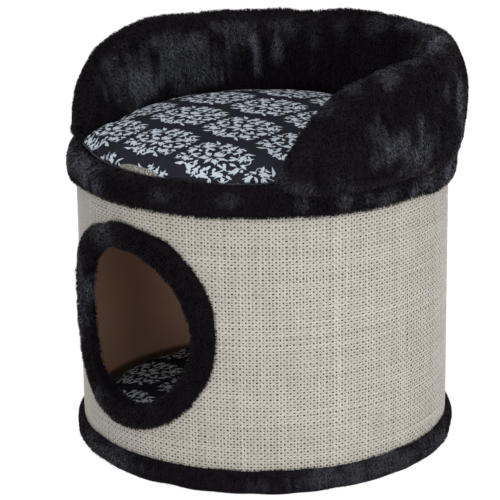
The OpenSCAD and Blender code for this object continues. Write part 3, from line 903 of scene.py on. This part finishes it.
def motif_group():
    """One motif from its leaves and stems, mirrored left and right."""
    tree, given, made = group("damask motif", "Where", "", "Mask")
    leaf, stem = leaf_group(), stem_group()
    x, y, _ = split(given["Where"])
    mirrored = joined(calc("ABSOLUTE", x), y)
    whole = 0.0
    for ring, at, turn, long, wide, bend, notch in LEAVES:
        start = math.radians(at)
        mask = use(
            leaf, Where=mirrored, Stem=(ring / 1e3 * math.cos(start), ring / 1e3 * math.sin(start), 0),
            Turn=math.radians(at + turn), Long=long / 1e3, Wide=wide / 1e3, Bend=bend, Notch=notch)
        whole = calc("MAXIMUM", whole, mask[0])
    for x, y, size, start, end, thick in STEMS:
        mask = use(
            stem, Where=mirrored, Middle=(x / 1e3, y / 1e3, 0), Size=size / 1e3,
            Turn=math.radians((start + end) / 2), Half=math.radians((end - start) / 2), Thick=thick / 1e3)
        whole = calc("MAXIMUM", whole, mask[0])
    feed(made["Mask"], whole)
    return tree


def damask_group():
    """The motif in rows, each shifted by half a motif, with a hand's small unevenness."""
    tree, given, made = group("damask", "Where", "", "Mask")
    drawn = given["Where"]
    for scale, wander in ((150.0, 0.0022), (40.0, 0.004)):
        hand = fill_in(new_node(drawn, "TexNoise"), Vector=given["Where"], Scale=scale)["Color"]
        drawn = calc("MULTIPLY_ADD", hand, (wander, wander, 0), drawn, kind="VectorMath")
    x, y, _ = split(drawn)
    odd_row = calc("FLOORED_MODULO", calc("FLOOR", calc("DIVIDE", y, MOTIF_H)), 2.0)
    x = calc("MULTIPLY_ADD", odd_row, MOTIF_W / 2, x)
    spread = []
    for place_in, repeat, drawn_by in ((x, MOTIF_W, DRAWN_W), (y, MOTIF_H, DRAWN_H)):
        tile = minus(calc("FLOORED_MODULO", place_in, repeat), repeat / 2)
        spread.append(times(tile, drawn_by / repeat))
    feed(made["Mask"], use(motif_group(), Where=joined(*spread))[0])
    return tree


def damask_finish():
    """Printed cotton, whose print is drawn together towards the cushion's edge."""
    material, shader, where = finish_of("damask cotton", Roughness=0.85, Specular_IOR_Level=0.0)
    x, y, _ = split(where)
    square = calc("ADD", times(x, x), times(y, y))
    out_share = calc("DIVIDE", square, RIM_IN ** 2)
    drawn_in = calc("MULTIPLY_ADD", calc("POWER", out_share, 3.0), 0.055, 1.0)
    flat = joined(*(times(v, drawn_in) for v in (x, y)))
    lay = new_node(shader, "Mapping")
    lay.vector_type = "TEXTURE"
    corner = (MOTIF_AT[0] - MOTIF_W / 2, MOTIF_AT[1] - MOTIF_H / 2, 0)
    print_mask = use(damask_group(), Where=fill_in(lay, Vector=flat, Location=corner)[0])[0]
    weave = use(plain_weave, Where=where, Pitch=0.0006)
    worn = noise(where, 420.0, 3.0)
    ink = times(print_mask, between(worn, 0.2, 0.55, 0.72, 1.0))
    ground = mixed(weave["Tone"], (0.016, 0.016, 0.024, 1), (0.024, 0.024, 0.033, 1))
    inked = mixed(weave["Tone"], (0.43, 0.49, 0.55, 1), (0.58, 0.645, 0.71, 1))
    paint(shader, mixed(ink, ground, inked))
    bump(shader, weave["Height"], 0.25, 0.0002)
    return material


def welt_finish():
    material, shader, where = finish_of("welt cotton", Roughness=0.85, Specular_IOR_Level=0.2)
    weave = use(plain_weave, Where=where, Pitch=0.0008)
    paint(shader, mixed(weave["Tone"], (0.02, 0.021, 0.028, 1), (0.05, 0.052, 0.062, 1)))
    bump(shader, weave["Height"], 0.3, 0.0002)
    return material


damask_cotton, welt_cotton = damask_finish(), welt_finish()

# Cushions: two shells sewn at a seam and stuffed
SLACK_BELOW, SLACK_ABOVE = 0.0008, 0.004
STUFF_VOXEL, STUFF_MOST = 0.005, 0.007
PUCKER, PUCKERS = 0.0011, 46


def cushion_rings(edge_r, bottom, seam, crown, sectors):
    """Rings of a cushion from the middle of its underside to its crown; edge_r gives its radius by angle."""
    angle = np.arange(sectors) * 360 / sectors
    u = np.sin(np.linspace(0, np.pi / 2, 15))
    low = bottom + (seam - bottom) * np.clip((u - 0.85) / 0.15, 0, 1) ** 2
    high = seam + (crown - seam) * (1 - u ** 2.4).clip(0) ** 0.6
    share, level = np.concatenate([u, u[-2::-1]]), np.concatenate([low, high[-2::-1]])
    return polar(share[:, None] * edge_r(angle)[None, :], angle[None, :], level[:, None])


def stuff(obj, voxel, cap):
    """Fills a cushion with air in a cloth simulation, and keeps each point within cap of where it was."""
    bpy.context.view_layer.objects.active = obj
    obj.select_set(True)
    obj.data.remesh_voxel_size = voxel
    bpy.ops.object.voxel_remesh()
    before = points_of(obj.data)
    cloth = obj.modifiers.new("stuffing", "CLOTH")
    cloth.settings.use_pressure = True
    cloth.settings.uniform_pressure_force = 4
    cloth.settings.effector_weights.gravity = 0
    cloth.collision_settings.use_collision = False
    for step in range(1, 21):
        scene.frame_set(step)
    shaped = obj.evaluated_get(bpy.context.evaluated_depsgraph_get()).to_mesh()
    moved = points_of(shaped) - before
    far = np.linalg.norm(moved, axis=1, keepdims=True)
    obj.modifiers.remove(cloth)
    scene.frame_set(1)
    move_points(obj.data, before + moved * np.minimum(1, cap / np.maximum(far, 1e-9)))


def spread_to_edge(co, edge_r):
    """Brings a stuffed cushion back out to its sewn edge, which the stuffing has drawn in."""
    r, angle = radius_of(co), angle_of(co)
    limit = edge_r(angle)
    reach = np.zeros(90)
    np.maximum.at(reach, ((angle + 180) // 4).astype(int) % 90, r / limit)
    around = np.concatenate([reach[-1:], reach, reach[:1]])
    drawn_in = np.interp(angle, np.arange(-1, 91) * 4 - 178, around)
    co[:, :2] *= (1 + (1 / drawn_in - 1) * (r / limit / drawn_in) ** 3)[:, None]
    r = radius_of(co)
    co[:, :2] *= np.minimum(1, limit / np.maximum(r, 1e-9))[:, None]
    return ease(r / limit, 0.82, 0.97)


def cushion(name, edge_r, bottom, seam, crown, body, nodes):
    rings = cushion_rings(edge_r, bottom + SLACK_BELOW, seam, crown - SLACK_ABOVE, 120)
    obj = lofted(name, rings.transpose(1, 0, 2), True)
    stuff(obj, STUFF_VOXEL, STUFF_MOST)
    co = points_of(obj.data)
    angle = angle_of(co)
    near_edge = spread_to_edge(co, edge_r)
    high = co[:, 2].max()
    raised = seam + (co[:, 2] - seam) * (crown - seam) / (high - seam)
    co[:, 2] = np.where(co[:, 2] > seam, raised, np.maximum(co[:, 2], bottom))
    pucker = PUCKER * np.sin(np.radians(angle) * PUCKERS + 2 * waves(co, 0.09, 51)) * near_edge
    co[:, 2] += pucker * (co[:, 2] > seam)
    move_points(obj.data, co)
    shade_smooth(obj.data)
    round_off = obj.modifiers.new("rounding", "SUBSURF")
    round_off.levels = round_off.render_levels = 1
    dress(obj, damask_cotton, body, "damask", *nodes)
    return obj


def nest_edge(angle):
    """Radius of the nest cushion, which follows the backrest's foot and swells in front of the left arm."""
    turn = turn_gap(np.asarray(angle), 0)
    past, left = np.abs(turn) - ARM_FROM + 4, turn < 0
    foot = nest_wall(np.maximum(past, 0), left) - LIFT_GAP
    edge = np.minimum(NEST_FRONT_R, np.where(past < 0, NEST_FRONT_R, foot)) - 0.0003
    return edge + 0.003 * (1 - ease(past, -20, 0)) + 0.0065 * hump(past + 6, 6.5) * left


def den_edge(angle):
    return np.full(np.shape(angle), round(DEN_R - GLUE, 4))


nest_cushion = cushion(
    "nest_cushion_cover", nest_edge, NEST_BOTTOM, NEST_SEAM, NEST_CROWN, "nest_cushion",
    ("nest_cushion_base", "nest_cushion_fill", "nest_cushion_panel"))
cushion(
    "den_cushion_cover", den_edge, DEN_BOTTOM, DEN_SEAM, DEN_CROWN, "den_cushion",
    ("den_cushion_base", "den_cushion_fill", "den_cushion_panel"))

WELT_R, WELT_INSET = 0.0013, 0.0014


def welt(name, edge_r, seam, body):
    """A thin sewn edge that follows a cushion's seam."""
    angle = np.arange(160) * 2.25
    t = np.radians(np.arange(8) * 45)
    r = edge_r(angle)[:, None] - WELT_INSET + WELT_R * np.cos(t)[None, :]
    ring = lofted(name, polar(r, angle[:, None], seam + WELT_R * np.sin(t)[None, :]), True)
    dress(ring, welt_cotton, body, "cushion_back")


welt("nest_cushion_welt", nest_edge, NEST_SEAM, "nest_cushion")
welt("den_cushion_welt", den_edge, DEN_SEAM, "den_cushion")

# The blank oval label at the front of the nest cushion
LABEL_R, LABEL_Z, LABEL_TURN, LABEL_BEND_R = 0.1772, 0.3108, 3.2, 0.172
LABEL_HALF_W, LABEL_HALF_H, LABEL_SLOPE, LABEL_T = 0.025, 0.0042, 0.0034, 0.0006
LABEL_UP, LABEL_BORDER, LABEL_DOME = 0.0013, 0.0008, 0.0004


def label_finish():
    material, shader, where = finish_of("label", Roughness=0.55, Specular_IOR_Level=0.4, Sheen_Weight=0.1)
    satin = use(plain_weave, Where=where, Pitch=0.0007)
    shade = mixed(satin["Tone"], (0.07, 0.066, 0.05, 1), (0.115, 0.11, 0.088, 1))
    # The light flecks on the label's satin are painted glints.
    glint_flecks = noise(where, 620.0, 3.0)
    shade = mixed(between(glint_flecks, 0.49, 0.6), shade, (0.4, 0.39, 0.36, 1))
    shade = mixed(between(read(shader, "border"), 0.86, 0.94), shade, (0.2, 0.192, 0.165, 1))
    paint(shader, shade)
    bump(shader, satin["Height"], 0.35, 0.0002)
    return material


def oval_label():
    """An oval patch sewn to the front of the cushion, a little domed, with a raised border."""
    cover = BVHTree.FromObject(nest_cushion, bpy.context.evaluated_depsgraph_get())
    bm = bmesh.new()
    bmesh.ops.create_circle(bm, cap_ends=True, radius=1, segments=64)
    for step in (0.1, 0.12, 0.12, 0.3):
        bmesh.ops.inset_region(bm, faces=[f for f in bm.faces if len(f.verts) > 4], thickness=step)
    bmesh.ops.poke(bm, faces=[f for f in bm.faces if len(f.verts) > 4])
    bmesh.ops.recalc_face_normals(bm, faces=bm.faces)
    layer = bm.verts.layers.float.new("border")
    for v in bm.verts:
        x, y, _ = v.co
        share = min(1, math.hypot(x, y))
        v[layer] = share
        turn = LABEL_TURN + math.degrees(LABEL_HALF_W * x / LABEL_BEND_R)
        aim = Vector(polar(LABEL_R - LABEL_SLOPE * y, turn, LABEL_Z + LABEL_HALF_H * y))
        spot, normal = cover.find_nearest(aim)[:2]
        border = LABEL_BORDER * max(0, 1 - ((share - 0.84) / 0.1) ** 2)
        v.co = spot + normal * (LABEL_UP + border + LABEL_DOME * (1 - share))
    obj = piece("nest_label", bm)
    thicken(obj, LABEL_T, -1)
    dress(obj, label_finish(), "nest_cushion", "label", "nest_cushion_label")


oval_label()

# Plush on the deck and the cloth under the base, both with a pinhole at the axis
POLE_R = 0.0004
DECK_UNDER_R, DECK_EDGE_Z, DECK_BEND, DECK_FLAT_R = 0.08, 0.3026, (0.1745, 0.3038), 0.172
CLOTH_MID_R, CLOTH_FLAT_R, CLOTH_EDGE_Z = 0.1, 0.1705, 0.0004
edge_r, high = round(DECK_R - GLUE, 4), DECK_TOP - SKIN_GAP
edge = [(POLE_R, DRUM_H), (DECK_UNDER_R, DRUM_H), (edge_r, DRUM_H), (edge_r, DECK_EDGE_Z), DECK_BEND]
face = [(r, high) for r in np.linspace(DECK_FLAT_R, POLE_R, 60)]
deck = turned("deck_plush", edge + face, 260)
co = points_of(deck.data)
trodden = 1 + 0.3 * waves(co, 0.011, 51) + 0.35 * waves(co, 0.06, 52)
attribute(deck.data, "nap_and_sheen", (0.09 + 0.5 * nap_and_sheen_at(co)) * trodden)
dress(deck, plush, "condo", "plush", "deck_cover")


def underlay_finish():
    material, shader, where = finish_of("underlay cloth", Roughness=0.9, Specular_IOR_Level=0.2)
    fibre = noise(where, 260.0, 6.0, 0.7)
    dots = use(plain_weave, Where=where, Pitch=0.0015)
    paint(shader, mixed(fibre, (0.012, 0.012, 0.014, 1), (0.05, 0.05, 0.054, 1)))
    bump(shader, calc("ADD", fibre, dots["Height"]), 0.4, 0.0003)
    return material


edge_r, high = round(UNDERLAY_R - GLUE, 4), UNDERLAY_T - SKIN_GAP
section = [
    (POLE_R, 0), (CLOTH_MID_R, 0), (CLOTH_FLAT_R, 0), (edge_r, CLOTH_EDGE_Z), (edge_r, high), (POLE_R, high)]
under_cloth = turned("under_cloth", section, 120)
dress(under_cloth, underlay_finish(), "condo", "underlay_cloth", "base_underlay")


# Finishes of the solids that show as they are
def tube_finish():
    material, shader, where = finish_of("tube board", Roughness=0.78, Specular_IOR_Level=0.3)
    fibre = noise(where, 300.0, 5.0, 0.65, (1, 1, 0.25))
    cloud = noise(where, 14.0, 3.0)
    x, y, z = split(where)
    turns = calc("DIVIDE", calc("ARCTAN2", x, y), 2 * math.pi)
    wound = calc("FRACT", calc("ADD", calc("DIVIDE", z, 0.115), turns))
    seam = between(calc("ABSOLUTE", minus(wound, 0.5)), 0.0, 0.008, 0.93, 1.0)
    colour = mixed(fibre, (0.50, 0.298, 0.202, 1), (0.60, 0.373, 0.263, 1))
    colour = mixed(between(cloud, 0.35, 0.7, 0.0, 0.35), colour, (0.65, 0.425, 0.307, 1))
    colour = mixed(seam, (0.09, 0.055, 0.036, 1), colour)
    # Painted shade: the wall is painted dark near its foot, below 26 to 33 millimetres, where the den
    # cushion meets it.
    colour = mixed(between(z, 0.026, 0.033), (0.09, 0.058, 0.042, 1), colour)
    paint(shader, colour)
    bump(shader, fibre, 0.2, 0.0003)
    return material


def board_finish():
    material, shader, where = finish_of("particle board", Roughness=0.8, Specular_IOR_Level=0.3)
    chips = fill_in(new_node(shader, "TexVoronoi"), Vector=where, Scale=420.0)["Distance"]
    dust = noise(where, 700.0, 3.0)
    colour = mixed(chips, (0.33, 0.2, 0.1, 1), (0.62, 0.45, 0.27, 1))
    colour = mixed(times(dust, 0.5), colour, (0.5, 0.36, 0.21, 1))
    paint(shader, colour)
    bump(shader, dust, 0.35, 0.0004)
    return material


def wire_finish():
    material, shader, where = finish_of("staple wire", Metallic=1.0, Roughness=0.38)
    drawn = noise(where, 500.0, 3.0, 0.6, (1, 1, 0.15))
    paint(shader, mixed(drawn, (0.45, 0.45, 0.44, 1), (0.66, 0.66, 0.64, 1)))
    fill_in(shader, Roughness=between(drawn, 0.2, 0.8, 0.28, 0.5))
    return material


for material, nodes in (
        (tube_finish(), ("drum_tube",)),
        (board_finish(), ("base_board", "top_board")),
        (wire_finish(), ("foot_staple_set", "base_staple_set", "top_staple_set", "rim_staple_set"))):
    for node in nodes:
        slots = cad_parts[node].data.materials
        slots.clear()
        slots.append(material)


# Floor, light and camera
def sees_backdrop(near):
    """1 for the rays that show the pale background, 0 for those that light the object."""
    ray = new_node(near, "LightPath").outputs
    mirrored_or_clear = calc("ADD", ray["Is Glossy Ray"], ray["Is Transmission Ray"])
    return calc("MINIMUM", calc("ADD", ray["Is Camera Ray"], mirrored_or_clear), 1.0)


def floor_finish():
    """A pale floor that shows nearly white and still takes the object's shadow."""
    material = bpy.data.materials.new("studio floor")
    material.use_nodes = True
    nodes = material.node_tree.nodes
    nodes.clear()
    out = nodes.new("ShaderNodeOutputMaterial")
    matt = fill_in(new_node(out, "BsdfDiffuse"), Color=(0.9, 0.9, 0.9, 1))[0]
    glow = fill_in(new_node(out, "Emission"), Strength=1.3)[0]
    shown = new_node(out, "MixShader")
    feed_all(shown.inputs, (times(sees_backdrop(out), 0.65), matt, glow))
    fill_in(out, Surface=shown.outputs[0])
    return material


FLOOR_R, FLOOR_Z = 14, -0.0003
bm = bmesh.new()
bmesh.ops.create_circle(bm, cap_ends=True, radius=FLOOR_R, segments=64)
bmesh.ops.translate(bm, verts=bm.verts, vec=(0, 0, FLOOR_Z))
floor = piece("studio_floor", bm)
floor.data.materials.append(floor_finish())

scene.world = bpy.data.worlds.new("studio")
scene.world.use_nodes = True
sky = scene.world.node_tree.nodes["Background"]
fill_in(sky, Color=(1, 1, 1, 1), Strength=between(sees_backdrop(sky), 0.0, 1.0, 0.43, 1.0))


def softbox(name, stand, aim, size, power):
    lamp = bpy.data.lights.new(name, "AREA")
    lamp.shape, lamp.size, lamp.energy = "DISK", size, power
    obj = add_object(name, lamp)
    obj.location = stand
    obj.rotation_euler = (Vector(aim) - Vector(stand)).to_track_quat("-Z", "Y").to_euler()


softbox("left_light", (1.36, -2.56, 0.6), (0, 0, 0.16), 0.9, 16)
softbox("right_light", (2.56, -1.36, 0.6), (0, 0, 0.16), 0.9, 11.5)
softbox("front_light", (1.8, -1.65, 2.05), (0, 0, 0.2), 1.5, 20)
softbox("side_light", (2.3, 1.3, 1.4), (0, 0, 0.2), 1.4, 27)
softbox("top_light", (0.5, -0.7, 2.4), (0, 0, 0.3), 1.4, 13)

# The camera as fitted to the photo: turned round the drum, then pitched, yawed and rolled in degrees
VIEW_TURN, PITCH, YAW, ROLL = (math.radians(v) for v in (46.0, 17.502, -0.340, 0.7072))
CAMERA_BACK, CAMERA_UP = 2.280, 0.9089
SENSOR_MM, LENS_MM = 36.0, 166.66
ahead = Vector((math.sin(YAW) * math.cos(PITCH), math.cos(YAW) * math.cos(PITCH), -math.sin(PITCH)))
right = Vector((math.cos(YAW), -math.sin(YAW), 0))
below = ahead.cross(right)
across = math.cos(ROLL) * right + math.sin(ROLL) * below
drop = -math.sin(ROLL) * right + math.cos(ROLL) * below
lens = bpy.data.cameras.new("camera")
lens.sensor_width, lens.lens = SENSOR_MM, LENS_MM
lens.clip_start, lens.clip_end = 0.1, 60
camera = add_object("camera", lens)
axes = Matrix((across, -drop, -ahead)).transposed().to_4x4()
stand = Matrix.Translation((0, -CAMERA_BACK, CAMERA_UP))
camera.matrix_world = Matrix.Rotation(VIEW_TURN, 4, "Z") @ stand @ axes
scene.camera = camera
